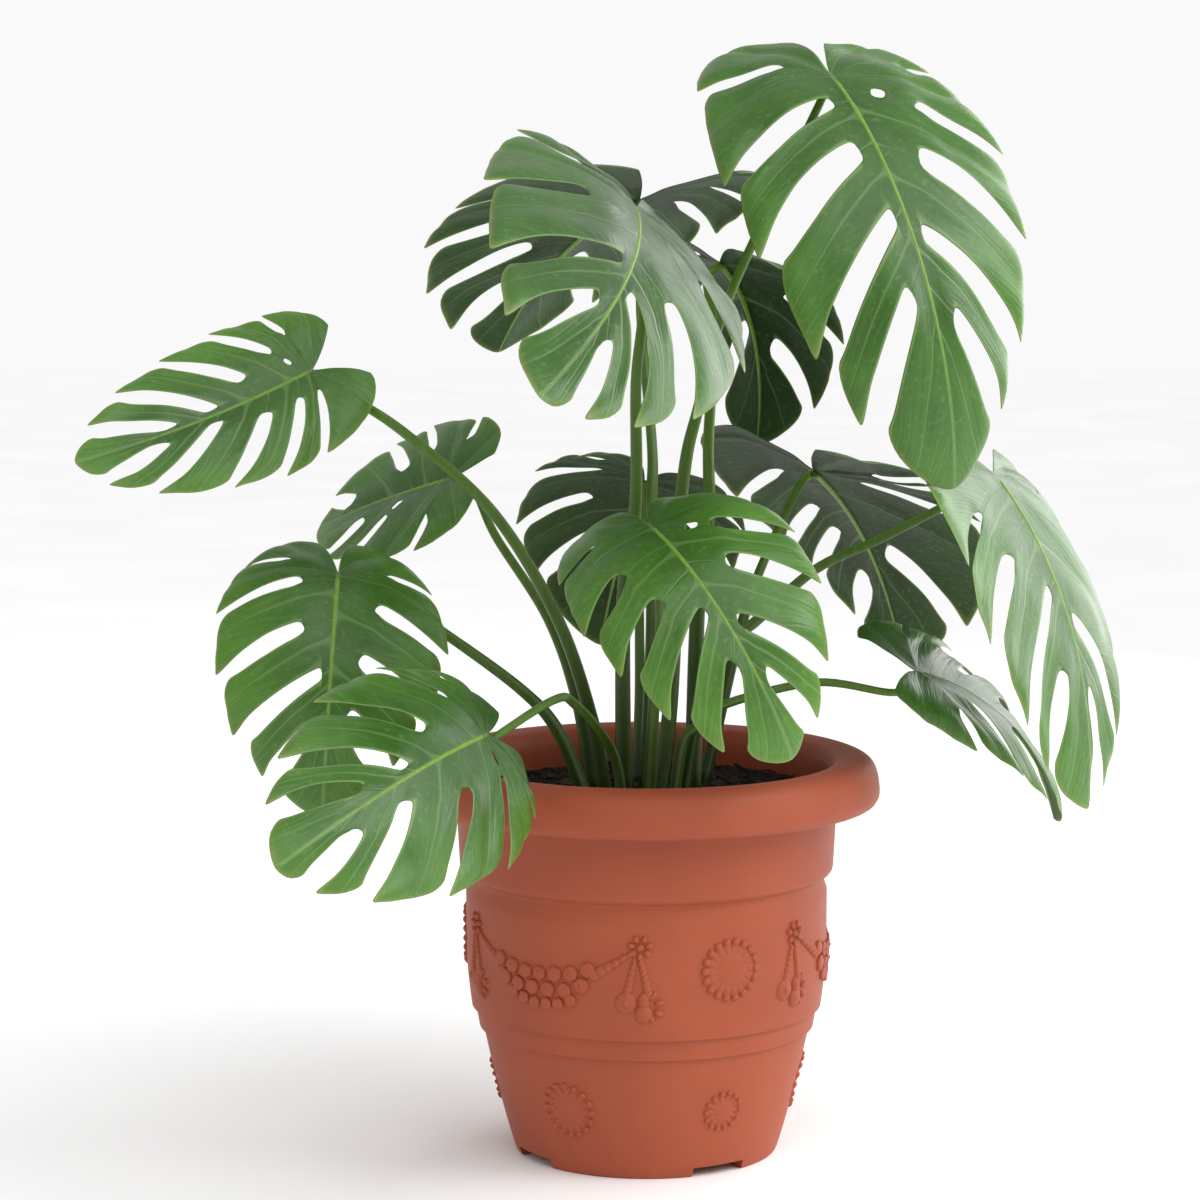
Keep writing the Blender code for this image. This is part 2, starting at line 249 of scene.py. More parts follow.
def barrel_radius(height):
    """The planter's plain outside: straight at the top, closing in towards the foot."""
    fall = max(0, Pot.barrel_top - height) / Pot.barrel_top
    return Pot.wall - (Pot.wall - Pot.foot) * fall**1.8


BAND_STEPS = ((127, 3.4), (109, 3.4))  # heights of the two steps in the barrel, and how far each goes in


def wall_radius(height):
    """The planter's outside with its two steps."""
    steps = sum(depth * (0.5 if height < low else -0.5) for low, depth in BAND_STEPS)
    return barrel_radius(height) - steps * min(1, height / 60)


rim = smooth_path(
    [
        (Pot.neck - 3.5, 0, Pot.rim_top - 13),
        (Pot.neck + 1, 0, Pot.rim_top - 4),
        (Pot.neck + 9, 0, Pot.rim_top - 1),
        (Pot.neck + 22, 0, Pot.rim_top),
        (Pot.neck + 33, 0, Pot.rim_top - 5),
        (Pot.rim_radius - 1.5, 0, Pot.rim_top - 16),
        (Pot.rim_radius, 0, Pot.rim_top - 31),
        (Pot.rim_radius - 3, 0, Pot.rim_edge),
    ],
    5,
)
rim = [(point.x, point.z) for point in rim]
neck = [
    (Pot.rim_radius - 5.5, Pot.rim_edge - 1.5), (Pot.neck + 6, Pot.rim_edge - 3),
    (Pot.neck + 3.4, Pot.rim_edge - 5), (Pot.neck + 2.6, Pot.rim_edge - 9),
    (Pot.neck + 0.4, Pot.shoulder + 12), (Pot.neck + 0.2, Pot.shoulder + 7),
    (Pot.neck - 0.6, Pot.shoulder + 4), (Pot.neck - 2.2, Pot.shoulder + 2),
    (Pot.neck - 4.6, Pot.shoulder + 0.6), (Pot.wall + 1.4, Pot.shoulder - 0.6),
    (Pot.wall + 0.5, Pot.shoulder - 2), (Pot.wall + 0.2, Pot.shoulder - 5),
]
heights = list(range(228, 0, -8))
for low, _ in BAND_STEPS:
    heights += [low + 3.0, low + 1.4, low + 0.4, low + 0.01, low - 0.4, low - 2.0, low - 4.0]
heights = sorted((h for h in heights if 1.5 < h), reverse=True)
barrel = [(wall_radius(h), h) for h in heights]
foot = [
    (Pot.foot + 0.1, 1.2), (Pot.foot - 0.7, 0.3), (Pot.foot - 1.8, 0),
    (Pot.foot - Pot.foot_ring, 0), (Pot.foot - Pot.foot_ring, Pot.underside),
    (Pot.pad, Pot.underside), (Pot.pad, 0), (0, 0),
]
floor_height = Pot.underside + Pot.floor
inside = [(0, floor_height)]
inside += [(barrel_radius(h) - Pot.thickness - 1, h) for h in range(floor_height, Pot.barrel_top, 24)]
inside += [(Pot.wall - Pot.thickness, Pot.barrel_top), (Pot.wall - Pot.thickness, Pot.shoulder - 4)]
inside += [(Pot.neck - 3.5, Pot.shoulder + 8), (Pot.neck - 3.5, 290), (Pot.neck - 3.5, 320)]
outline = inside + rim + neck + barrel + foot
print("outline points:", len(outline))

# %% [markdown]
# A lathe would turn the mould's core. Here the spin operator carries the outline once round the axis in many
# steps, and its first and last copies merge, so the shell closes without a seam.

# %% Turn the outline
def turned(profile, steps):
    """A solid of revolution from an outline of (radius, height) in millimetres, from the axis back to it."""
    shape = bmesh.new()
    verts = [shape.verts.new((radius * MM, 0, height * MM)) for radius, height in profile]
    edges = [shape.edges.new(pair) for pair in zip(verts, verts[1:])]
    bmesh.ops.spin(
        shape, geom=verts + edges, cent=(0, 0, 0), axis=(0, 0, 1), angle=math.tau, steps=steps, use_merge=True
    )
    bmesh.ops.remove_doubles(shape, verts=shape.verts, dist=0.00001)
    bmesh.ops.recalc_face_normals(shape, faces=shape.faces)
    return shape


pot = piece("planter", turned(outline, 160), plastic, "pot", sharp=math.radians(32))
print("planter faces:", len(pot.data.polygons))

# %% [markdown]
# Four shallow notches let water out under the foot. A block laid across the foot ring cuts each of them.
# The cut is applied to the mesh and the blocks are thrown away, so the piece is plain geometry in the end.

# %% Cut the drainage notches
NOTCH_SIZE = (50, 40, 17)
for angle in (32, 122, 212, 302):
    block_shape = bmesh.new()
    bmesh.ops.create_cube(block_shape, size=1)
    bmesh.ops.scale(block_shape, vec=Vector(NOTCH_SIZE) * MM, verts=block_shape.verts)
    bmesh.ops.translate(block_shape, vec=(0, (Pot.foot_ring / 2 - Pot.foot) * MM, 0), verts=block_shape.verts)
    turn = Matrix.Rotation(math.radians(angle), 3, "Z")
    bmesh.ops.rotate(block_shape, cent=(0, 0, 0), matrix=turn, verts=block_shape.verts)
    block_mesh = bpy.data.meshes.new("block")
    block_shape.to_mesh(block_mesh)
    block_shape.free()
    block = bpy.data.objects.new("block", block_mesh)
    bpy.context.scene.collection.objects.link(block)
    cut = pot.modifiers.new("notch", "BOOLEAN")
    cut.operation = "DIFFERENCE"
    cut.object = block
    bpy.context.view_layer.update()
    notched = bpy.data.meshes.new_from_object(pot.evaluated_get(bpy.context.evaluated_depsgraph_get()))
    pot.modifiers.clear()
    pot.data = notched
    bpy.data.objects.remove(block)
print("planter faces after the notches:", len(pot.data.polygons))

# %% [markdown]
# ## The decoration
# The barrel carries low reliefs: swags of berries between flower knots with hanging fruit, and rosettes.
# In the mould they are cut a few millimetres deep. Each is modelled flat, out of flattened balls and drops,
# and then bent round the wall: across becomes angle, up stays up, and its height stands out from the wall.

# %% Relief shapes
def ball(shape, across, up, wide, tall, height, turn=0.0, sides=10):
    """A flattened ball on the flat pattern, sunk by half: its place and size in millimetres."""
    made = bmesh.ops.create_uvsphere(shape, u_segments=sides, v_segments=6, radius=1)["verts"]
    bmesh.ops.scale(shape, vec=(wide, tall, height), verts=made)
    bmesh.ops.rotate(shape, cent=(0, 0, 0), matrix=Matrix.Rotation(turn, 3, "Z"), verts=made)
    bmesh.ops.translate(shape, vec=(across, up, 0), verts=made)
    return made


BERRY_HEIGHT = 3.6


def berry(shape, across, up, size, turn):
    """One berry of a swag: a low six-sided boss with a rounded edge, in millimetres."""
    place = Matrix.Translation((across, up, 0)) @ Matrix.Rotation(turn, 4, "Z")
    made = bmesh.ops.create_cone(
        shape,
        cap_ends=True,
        segments=6,
        radius1=size,
        radius2=size * 0.9,
        depth=2 * BERRY_HEIGHT,
        matrix=place,
    )["verts"]
    edges = list({edge for vert in made for edge in vert.link_edges})
    bmesh.ops.bevel(
        shape, geom=edges, offset=size * 0.2, affect="EDGES", segments=2, profile=0.5, material=-1
    )


def bent_round(shape, centre, height, sink=0.6):
    """Bends a flat pattern in millimetres round the wall, about an angle and a height."""
    for vert in shape.verts:
        across, up, out = vert.co
        z = height + up
        radius = wall_radius(z) + out - sink
        angle = math.radians(centre) + across / wall_radius(height)
        vert.co = Vector((radius * math.sin(angle), -radius * math.cos(angle), z)) * MM


print("relief shapes: ball, berry, and the bend round a wall of radius", Pot.wall)

# %% [markdown]
# A rosette is a ring of round-ended petals about a low dome. The petals are long drops laid like spokes, so
# the edge is scalloped and the middle stays shallow.

# %% Rosettes
def rosette(shape, radius, petals):
    """A flat rosette pattern: petals like spokes, their knobbed ends, and a low dome."""
    for number in range(petals):
        turn = math.tau * number / petals
        spoke = Vector((math.cos(turn), math.sin(turn))) * radius
        ball(shape, *spoke * 0.66, radius * 0.34, radius * 0.17, 1.9, turn, 8)
        ball(shape, *spoke * 0.86, radius * 0.15, radius * 0.155, 3.6, turn, 8)
    ball(shape, 0, 0, radius * 0.72, radius * 0.72, 2.3, 0, 20)


UPPER_ROSETTE = (26, 185, 27.5, 18)
LOWER_ROSETTES = ((-31, 58.5, 25.5, 16), (29, 58.5, 18.5, 14))


def ring_of(name, count, make, *patterns):
    """One piece that repeats flat patterns round the pot: each is (centre angle, height, the rest)."""
    whole = bmesh.new()
    for number in range(count):
        for centre, height, *rest in patterns:
            flat = bmesh.new()
            make(flat, *rest)
            bent_round(flat, centre + 360 * number / count, height)
            spare = bpy.data.meshes.new("spare")
            flat.to_mesh(spare)
            flat.free()
            whole.from_mesh(spare)
            bpy.data.meshes.remove(spare)
    return piece(name, whole, plastic, sharp=None)


rosettes = ring_of("rosettes", 3, rosette, UPPER_ROSETTE, *LOWER_ROSETTES)
print("rosette faces:", len(rosettes.data.polygons))

# %% [markdown]
# A swag hangs as a chain would, low in its middle. Rows of berries follow the curve, three deep at the
# middle and one at the ends, where a tapering ribbon climbs to the knot. Sizes and turns vary a little.

# %% Swags of berries
SWAG_CENTRE, SWAG_SPAN, SWAG_TOP = -35.3, 65.4, 207
BERRY_ROWS = ((-27, 0.60, 7.9, 7), (-40.5, 0.54, 8.3, 6), (-53, 0.40, 6.6, 6))  # height, reach, size, count
RIBBON_STEPS = 6


def swag(shape):
    """One swag: rows of berries on a hanging curve and a ribbon at each end."""
    dice = random.Random(7)
    half = math.radians(SWAG_SPAN / 2) * Pot.wall
    for row, (low, reach, size, count) in enumerate(BERRY_ROWS):
        for number in range(count):
            share = (2 * number + 1 - count) / count
            across = share * reach * half
            up = low + 9 * share**2 + dice.uniform(-1.0, 1.0)
            wide = size * dice.uniform(0.92, 1.05)
            berry(shape, across, up, wide, dice.uniform(0, 1))
            if row < 2 and number % 2:
                ball(shape, across, up, wide * 0.45, wide * 0.45, BERRY_HEIGHT + 1.1)
    for side in (-1, 1):
        for step in range(RIBBON_STEPS):
            share = step / (RIBBON_STEPS - 1)
            across = side * half * (0.93 - 0.36 * share)
            up = -5 - 19 * share**0.9
            ball(shape, across, up, 6.0, 2.6 + 4.0 * share, 3.4, side * math.radians(38))


swags = ring_of("berry_swags", 3, swag, (SWAG_CENTRE, SWAG_TOP))
print("swag faces:", len(swags.data.polygons))

# %% [markdown]
# At each end of a swag sits a small flower with a bunch hanging from it: two stems that widen downwards, a
# round fruit, a pear and a few leaves.

# %% Knots with hanging fruit
def bunch(shape):
    """A flower knot with its hanging bunch."""
    for number in range(7):
        turn = math.tau * (number + 0.25) / 7
        ball(shape, 7.6 * math.cos(turn), 7.6 * math.sin(turn), 4.0, 3.0, 3.8, turn)
    ball(shape, 0, 0, 3.8, 3.8, 4.2)
    for side in (-1, 1):
        for step in range(7):
            share = step / 6
            across = side * (2.6 + 6.4 * share) - 2
            ball(shape, across, -12 - 28 * share, 2.6 + 2.2 * share, 4.8, 3.0, -side * 0.2)
    ball(shape, -12, -47, 10.6, 10.4, 3.8, 0, 14)
    ball(shape, -12, -47, 5.2, 5.2, 5.2, 0, 12)
    ball(shape, 3, -56, 8.8, 9.2, 4.8, 0, 12)
    ball(shape, 3, -45, 5.8, 8.6, 4.2, 0, 10)
    for turn, far in ((0.2, 12), (-0.5, 13), (0.9, 11), (-1.1, 12)):
        ball(shape, 4 + far * math.cos(turn), -49 + far * math.sin(turn), 5.4, 3.2, 3.8, turn, 8)


knots = ring_of("fruit_knots", 3, bunch, (-2.6, 207), (-68, 207))
for relief_piece in (rosettes, swags, knots):
    rounder = relief_piece.modifiers.new("rounded", "SUBSURF")
    rounder.levels = rounder.render_levels = 1
print("knot faces:", len(knots.data.polygons))

# %% [markdown]
# ## The soil
# Potting soil is dark peat with shreds of bark. The bed is a turned slab whose top is roughened by noise, and
# the shreds are a few hundred short thin bars thrown over it, which give the fibrous look near the stalks.

# %% Soil finish
earth, shader = finish("peat and bark", 0.95, 1.4)
place = add(earth, "TexCoord").outputs["Object"]
clod = add(earth, "TexNoise", {"Vector": place, "Scale": 140.0, "Detail": 6.0, "Roughness": 0.7})
tint = add(earth, "ValToRGB", {"Fac": clod.outputs["Fac"]})
stops(tint, (0.35, "#120b08"), (0.55, "#2a1b14"), (0.72, "#54402f"))
crumb = add(earth, "Bump", {"Height": clod.outputs["Fac"], "Strength": 0.8, "Distance": 0.003})
earth.node_tree.links.new(tint.outputs["Color"], shader.inputs["Base Color"])
earth.node_tree.links.new(crumb.outputs["Normal"], shader.inputs["Normal"])
print("soil finish:", earth.name)

# %% [markdown]
# The bed fills the planter from its floor to three centimetres under the rim. It is turned like the pot, a
# millimetre smaller, and only its top is roughened: the sides are never seen.

# %% Soil bed
SOIL_HEIGHT = 311
side = [(barrel_radius(h) - Pot.thickness - 3, h) for h in (17.5, 60, 100, 140, 180)]
side += [(Pot.wall - Pot.thickness - 1, Pot.shoulder - 4), (Pot.neck - 4.4, Pot.shoulder + 10)]
side += [(Pot.neck - 4.4, SOIL_HEIGHT - 5)]
top = [(radius, SOIL_HEIGHT - 1) for radius in range(0, 153, 4)]
bed = turned(top + side[::-1] + [(0, 17.5)], 110)
for vert in bed.verts:
    if vert.co.z > (SOIL_HEIGHT - 6) * MM:
        lump = noise.noise(vert.co * 60) * 2.6 + noise.noise(vert.co * 170) * 1.8
        vert.co.z += min(lump, 1.6) * MM
soil = piece("soil_bed", bed, earth, "soil", sharp=None)
print("soil faces:", len(soil.data.polygons))

# %% [markdown]
# Bark shreds lie loose on the bed. Each is a thin bar that tapers to one end, turned and tipped at random.
# They have few faces each, as there are hundreds, and sit half sunk so that none floats.

# %% Bark shreds
dice = random.Random(3)
shreds = bmesh.new()
for number in range(620):
    size = Vector((dice.uniform(5, 17), dice.uniform(1.2, 3.4), dice.uniform(0.7, 1.8))) * MM
    radius = 148 * math.sqrt(dice.random())
    angle = dice.uniform(0, math.tau)
    made = bmesh.ops.create_cube(shreds, size=1)["verts"]
    bmesh.ops.scale(shreds, vec=size, verts=made)
    for vert in made:
        if vert.co.x > 0:
            vert.co.y *= 0.5
    turn, tip = dice.uniform(0, math.tau), dice.uniform(-0.25, 0.25)
    tilt = Matrix.Rotation(turn, 3, "Z") @ Matrix.Rotation(tip, 3, "Y")
    bmesh.ops.rotate(shreds, cent=(0, 0, 0), matrix=tilt, verts=made)
    height = SOIL_HEIGHT + dice.uniform(-0.5, 2.0)
    where = Vector((radius * math.cos(angle), radius * math.sin(angle), height)) * MM
    bmesh.ops.translate(shreds, vec=where, verts=made)
bark = piece("bark_shreds", shreds, earth, sharp=math.radians(30))
print("bark faces:", len(bark.data.polygons))

# %% [markdown]
# ## The leaves
# A monstera leaf is a heart-shaped blade. Slots run in from its margin between the side veins and leave
# fingers, each with one main vein. The table below holds every leaf's place and shape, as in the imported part:
# the junction with its stalk, three angles, the length, how each half folds and curls, and the slots.

# %% Table of leaves
class Leaf(NamedTuple):
    """One leaf: millimetres, degrees and percent. Pairs give the right half, then the left half.

    A slot is (share of the margin, share of the half-width where it starts). Share 0 is the lobe beside the
    stalk and 100 the tip.
    """
    name: str
    junction: tuple
    heading: float
    pitch: float
    roll: float
    length: float
    width: float
    waist: float
    fold: tuple
    curl: tuple
    droop: float
    sway: float
    lobes: tuple
    slots: tuple


LEAVES = (
    Leaf("top_right", (150, -50, 920), 25, -30, 15, 400, 70, 34, (10, -10), (50, 30), 90, 0, (165, 145), (
        ((35, 40), (59, 15), (70, 15), (81, 10), (88, 20)),
        ((31, 75), (57, 45), (71, 25), (83, 10), (90, 25)))),
    Leaf("top_front", (-10, -70, 810), 5, -15, -40, 360, 75, 40, (0, 5), (35, 30), 35, 15, (150, 150), (
        ((24, 30), (61, 40), (80, 10), (90, 20)),
        ((38, 60), (60, 50), (79, 35), (88, 10), (94, 35)))),
    Leaf("top_back", (-5, 120, 815), -145, -15, -5, 300, 90, 44, (10, 20), (30, 10), 30, 5, (135, 135), (
        ((36, 60), (55, 55), (70, 40), (84, 30)),
        ((52, 50), (68, 40), (80, 30), (90, 40)))),
    Leaf("upper_back", (65, 130, 760), 150, -25, 5, 200, 100, 44, (10, 15), (30, -15), 80, 5, (135, 120), (
        ((40, 60), (65, 45), (85, 25)),
        ((45, 60), (65, 40), (83, 10)))),
    Leaf("far_left", (-280, -50, 675), -65, -25, -45, 215, 80, 34, (10, 10), (25, 25), 0, 15, (130, 130), (
        ((33, 60), (53, 40), (69, 25), (82, 10), (91, 15)),
        ((44, 30), (56, 25), (68, 25), (82, 15), (91, 30)))),
    Leaf("left_back", (-170, 50, 575), -125, -15, -50, 175, 85, 40, (15, 15), (35, 30), 15, 5, (155, 135), (
        ((32, 65), (59, 50), (73, 35), (92, 40)),
        ((42, 60), (72, 40), (83, 40)))),
    Leaf("left", (-260, -50, 505), 0, -35, -5, 235, 95, 34, (5, -10), (40, 25), 100, 0, (150, 165), (
        ((29, 55), (52, 30), (69, 25), (81, 10), (89, 30)),
        ((38, 55), (62, 35), (77, 25), (88, 25)))),
    Leaf("low_left", (-130, -225, 395), -20, 0, -45, 280, 80, 34, (5, -15), (50, 30), 40, 0, (155, 140), (
        ((28, 70), (49, 45), (71, 25), (84, 10), (91, 25)),
        ((18, 60), (48, 35), (69, 30), (85, 20), (93, 40)))),
    Leaf("middle_back", (0, 150, 565), -170, -25, 15, 235, 90, 40, (5, 5), (35, 35), 45, 5, (140, 155), (
        ((40, 55), (62, 40), (78, 30), (90, 40)),
        ((20, 60), (40, 45), (66, 40), (82, 30)))),
    Leaf("front", (0, -150, 555), 25, -15, 25, 255, 85, 34, (10, 0), (45, 30), 100, -5, (165, 145), (
        ((44, 55), (63, 50), (73, 40), (82, 15), (90, 25)),
        ((25, 80), (58, 40), (72, 30), (85, 15), (93, 25)))),
    Leaf("right_back", (150, 150, 575), 150, -25, 15, 290, 90, 44, (5, 10), (-15, 30), 35, 5, (145, 120), (
        ((31, 60), (38, 45), (53, 30), (85, 20)),
        ((55, 50), (71, 45), (79, 40), (89, 45)))),
    Leaf("right", (295, 0, 585), 40, -40, -5, 310, 90, 40, (5, -10), (-15, 30), 55, -5, (120, 125), (
        ((54, 55), (66, 45), (79, 15), (87, 40)),
        ((31, 60), (60, 70), (85, 10), (94, 20)))),
    Leaf("low_right", (230, 0, 415), 110, -15, 20, 225, 90, 38, (10, 10), (40, 15), 60, 0, (120, 125), (
        ((41, 65), (59, 40), (73, 45), (87, 30)),
        ((36, 60), (56, 65), (67, 30), (80, 30)))),
)
print("leaves:", len(LEAVES))

# %% [markdown]
# The blade is worked out in three steps. First a flat half-blade: every side vein is a bowed line from the
# midrib to the margin. Then each half folds up from the midrib and curls down, as an arc. Last, the midrib
# itself droops and sways along an arc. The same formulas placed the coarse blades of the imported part.

# %% From the flat blade to its place
FLAT = math.radians(52)  # the angle about the junction in which the margin falls in from the tip to the waist


def midrib_start(share):
    """Where a vein leaves the midrib, as a share of the leaf's length."""
    return 0.03 * share + 0.67 * max(0.0, 2 * share - 1) ** 1.5


def on_flat_blade(leaf, half, share, start, out):
    """The place (along, across) on the flattened half-blade, in leaf lengths."""
    angle = max(1e-9, math.radians(leaf.lobes[half]) * (1 - share))
    waist = leaf.waist / 100
    reach = waist + (1 - waist) * math.exp(-((angle / FLAT) ** 1.3))
    far = Vector((reach * math.cos(angle), reach * math.sin(angle) * leaf.width / 100))
    root = Vector((start, 0))
    run = far - root
    bow = 0.12 * min(1.0, (1 - share) / 0.15)
    bend = root + run / 2 + bow * Vector((-run.y, run.x))
    return (1 - out) ** 2 * root + 2 * out * (1 - out) * bend + out**2 * far


def leaf_axes(leaf):
    """Ahead along the midrib at the junction, up from the blade, and to its right."""
    heading, pitch = math.radians(leaf.heading), math.radians(leaf.pitch)
    level = Vector((math.sin(heading), -math.cos(heading), 0))
    ahead = level * math.cos(pitch) + Vector((0, 0, math.sin(pitch)))
    up = Vector((0, 0, math.cos(pitch))) - level * math.sin(pitch)
    up = Matrix.Rotation(math.radians(leaf.roll), 3, ahead) @ up
    return ahead, up, ahead.cross(up)


def in_space(leaf, half, along, across, lift=0.0):
    """Bends the flat blade into place. The lift stands off the blade's upper side, in metres."""
    ahead, up, right = leaf_axes(leaf)
    length = leaf.length * MM
    fold, curl = math.radians(leaf.fold[half]), math.radians(leaf.curl[half])
    turn = 2 * curl / length
    end = fold - turn * across * length
    outward = (math.sin(fold) - math.sin(end)) / turn - lift * math.sin(end)
    rise = (math.cos(end) - math.cos(fold)) / turn + lift * math.cos(end)
    side = right if half == 0 else -right
    droop, sway = math.radians(leaf.droop), math.radians(leaf.sway)
    total = math.hypot(droop, sway) or 1e-6
    inward = (sway * right - droop * up) / total
    axis = ahead.cross(inward)
    angle = total * along
    middle = (ahead * math.sin(angle) + inward * (1 - math.cos(angle))) * length / total
    offset = Matrix.Rotation(angle, 3, axis) @ (side * outward + up * rise)
    return Vector(leaf.junction) * MM + middle + offset


tip = in_space(LEAVES[0], 0, 1.0, 0.0)
print("the first leaf's tip:", [round(value, 3) for value in tip])

# %% [markdown]
# One grid covers both halves, with its middle row on the midrib. Its columns are shared out between the
# fingers, and each slot keeps one strip of faces, which is taken out beyond the slot's start. A finger's
# edges move apart towards the midrib, so that a slot keeps its width and ends round.

# %% Fingers and slots
COLUMNS = 62
ROWS = 22
ROW_SPREAD = 1.25
SLOT = 0.035  # a slot's width, as a share of the margin
SLOT_ROUND = 0.035  # the share of the half-width over which a slot's inner end opens


class Column(NamedTuple):
    """A grid line from the midrib to the margin: its finger, its place in it, and whether a slot follows."""
    finger: int
    place: float
    slot: int


def columns_of(slots):
    """The grid's columns, and the margin shares of each finger's two edges."""
    cuts = [0.0] + [edge for share, _ in slots for edge in (share / 100, share / 100 + SLOT)] + [1.0]
    fingers = list(zip(cuts[::2], cuts[1::2]))
    strips = [3] * len(fingers)
    while sum(strips) < COLUMNS - len(slots):
        widest = max(range(len(fingers)), key=lambda i: (fingers[i][1] - fingers[i][0]) / strips[i])
        strips[widest] += 1
    columns = []
    for number, count in enumerate(strips):
        for step in range(count + 1):
            last = step == count and number < len(slots)
            columns.append(Column(number, step / count, number if last else -1))
    return columns, fingers


def ease(value):
    """Rises smoothly from 0 to 1."""
    value = min(1.0, max(0.0, value))
    return value * value * (3 - 2 * value)


def slot_half(slots, number, out):
    """Half of a slot's width at this distance out, as a share of the margin."""
    start = slots[number][1] / 100
    near = [abs(slots[i][0] - slots[number][0]) for i in (number - 1, number + 1) if 0 <= i < len(slots)]
    most = 0.24 * min(near, default=20) / 100
    full = min(most, SLOT / 2 * max(out, start) ** -0.75)
    if out >= start - SLOT_ROUND:
        opened = math.sqrt(min(1.0, (out - start + SLOT_ROUND) / (2 * SLOT_ROUND)))
        mouth = 1 - 0.35 * ease((out - 0.75) / 0.25)
        return full * max(0.3, opened) * mouth
    near_rib = ease(out / (start - SLOT_ROUND))
    return SLOT / 2 + (0.3 * full - SLOT / 2) * near_rib


def share_at(slots, fingers, column, out):
    """The margin share of a column at this distance out, with its finger's edges moved apart."""
    low, high = fingers[column.finger]
    if column.finger > 0:
        centre = slots[column.finger - 1][0] / 100 + SLOT / 2
        low = centre + slot_half(slots, column.finger - 1, out)
    if column.finger < len(slots):
        centre = slots[column.finger][0] / 100 + SLOT / 2
        high = centre - slot_half(slots, column.finger, out)
    return low + (high - low) * column.place


def margin_share(column, last):
    """How far out a finger reaches: rounded on the side near the stalk, pointed on the side near the tip."""
    back = 1 - column.place
    if column.finger == 0:
        return 1 - 0.30 * back**2
    round_corner = 0.09 * (1 - math.sqrt(max(0.0, 1 - back**3)))
    point = 0.0 if last else 0.03 * column.place**6
    return 1 - round_corner - 0.015 * back + point


print("columns in the first leaf:", len(columns_of(LEAVES[0].slots[0])[0]))

# %% [markdown]
# Between the side veins the blade swells like a quilt, each vein lies in a soft groove, and the slots' edges
# turn down a little. These small heights are added along the blade's own upward direction before bending.
# Three measures go with the mesh, for the finish to read: distance from the finger's vein, from the midrib,
# and from the nearest edge, all in millimetres.

# %% Relief of the blade
VEIN_PLACE = 0.46  # where a finger's vein lies between its two edges
QUILT_MM, EDGE_DROP_MM, WAVE_MM = 2.3, 3.0, 5.0


def swell(leaf, seed, column, out, off_vein, off_edge):
    """The blade's small heights at one point, in metres."""
    quilt = QUILT_MM * (1 - math.exp(-((off_vein / 7) ** 2))) * ease(out * 5)
    turned_down = -EDGE_DROP_MM * math.exp(-((off_edge / 7) ** 2)) * ease((out - 0.3) * 2)
    along = Vector((out * 2.3, column.finger * 3.1 + column.place * 1.1, seed * 5.7))
    wave = noise.noise(along) * WAVE_MM * ease(out * 1.4)
    return (quilt + turned_down + wave) * MM * leaf.length / 300


UNEVEN = 0.012  # how far the margin wanders, as a share of the half-width
NO_HOLE = (2, 2)

# Small holes near the midrib, each in line with a slot: how far out the hole starts and ends.
HOLES = {
    ("top_right", 1, 1): (0.13, 0.22),
    ("top_back", 1, 1): (0.14, 0.26),
    ("upper_back", 1, 0): (0.25, 0.45),
    ("far_left", 0, 1): (0.12, 0.22),
    ("left_back", 1, 1): (0.12, 0.24),
    ("low_left", 1, 1): (0.10, 0.20),
    ("front", 1, 1): (0.12, 0.24),
    ("right_back", 0, 1): (0.14, 0.30),
}


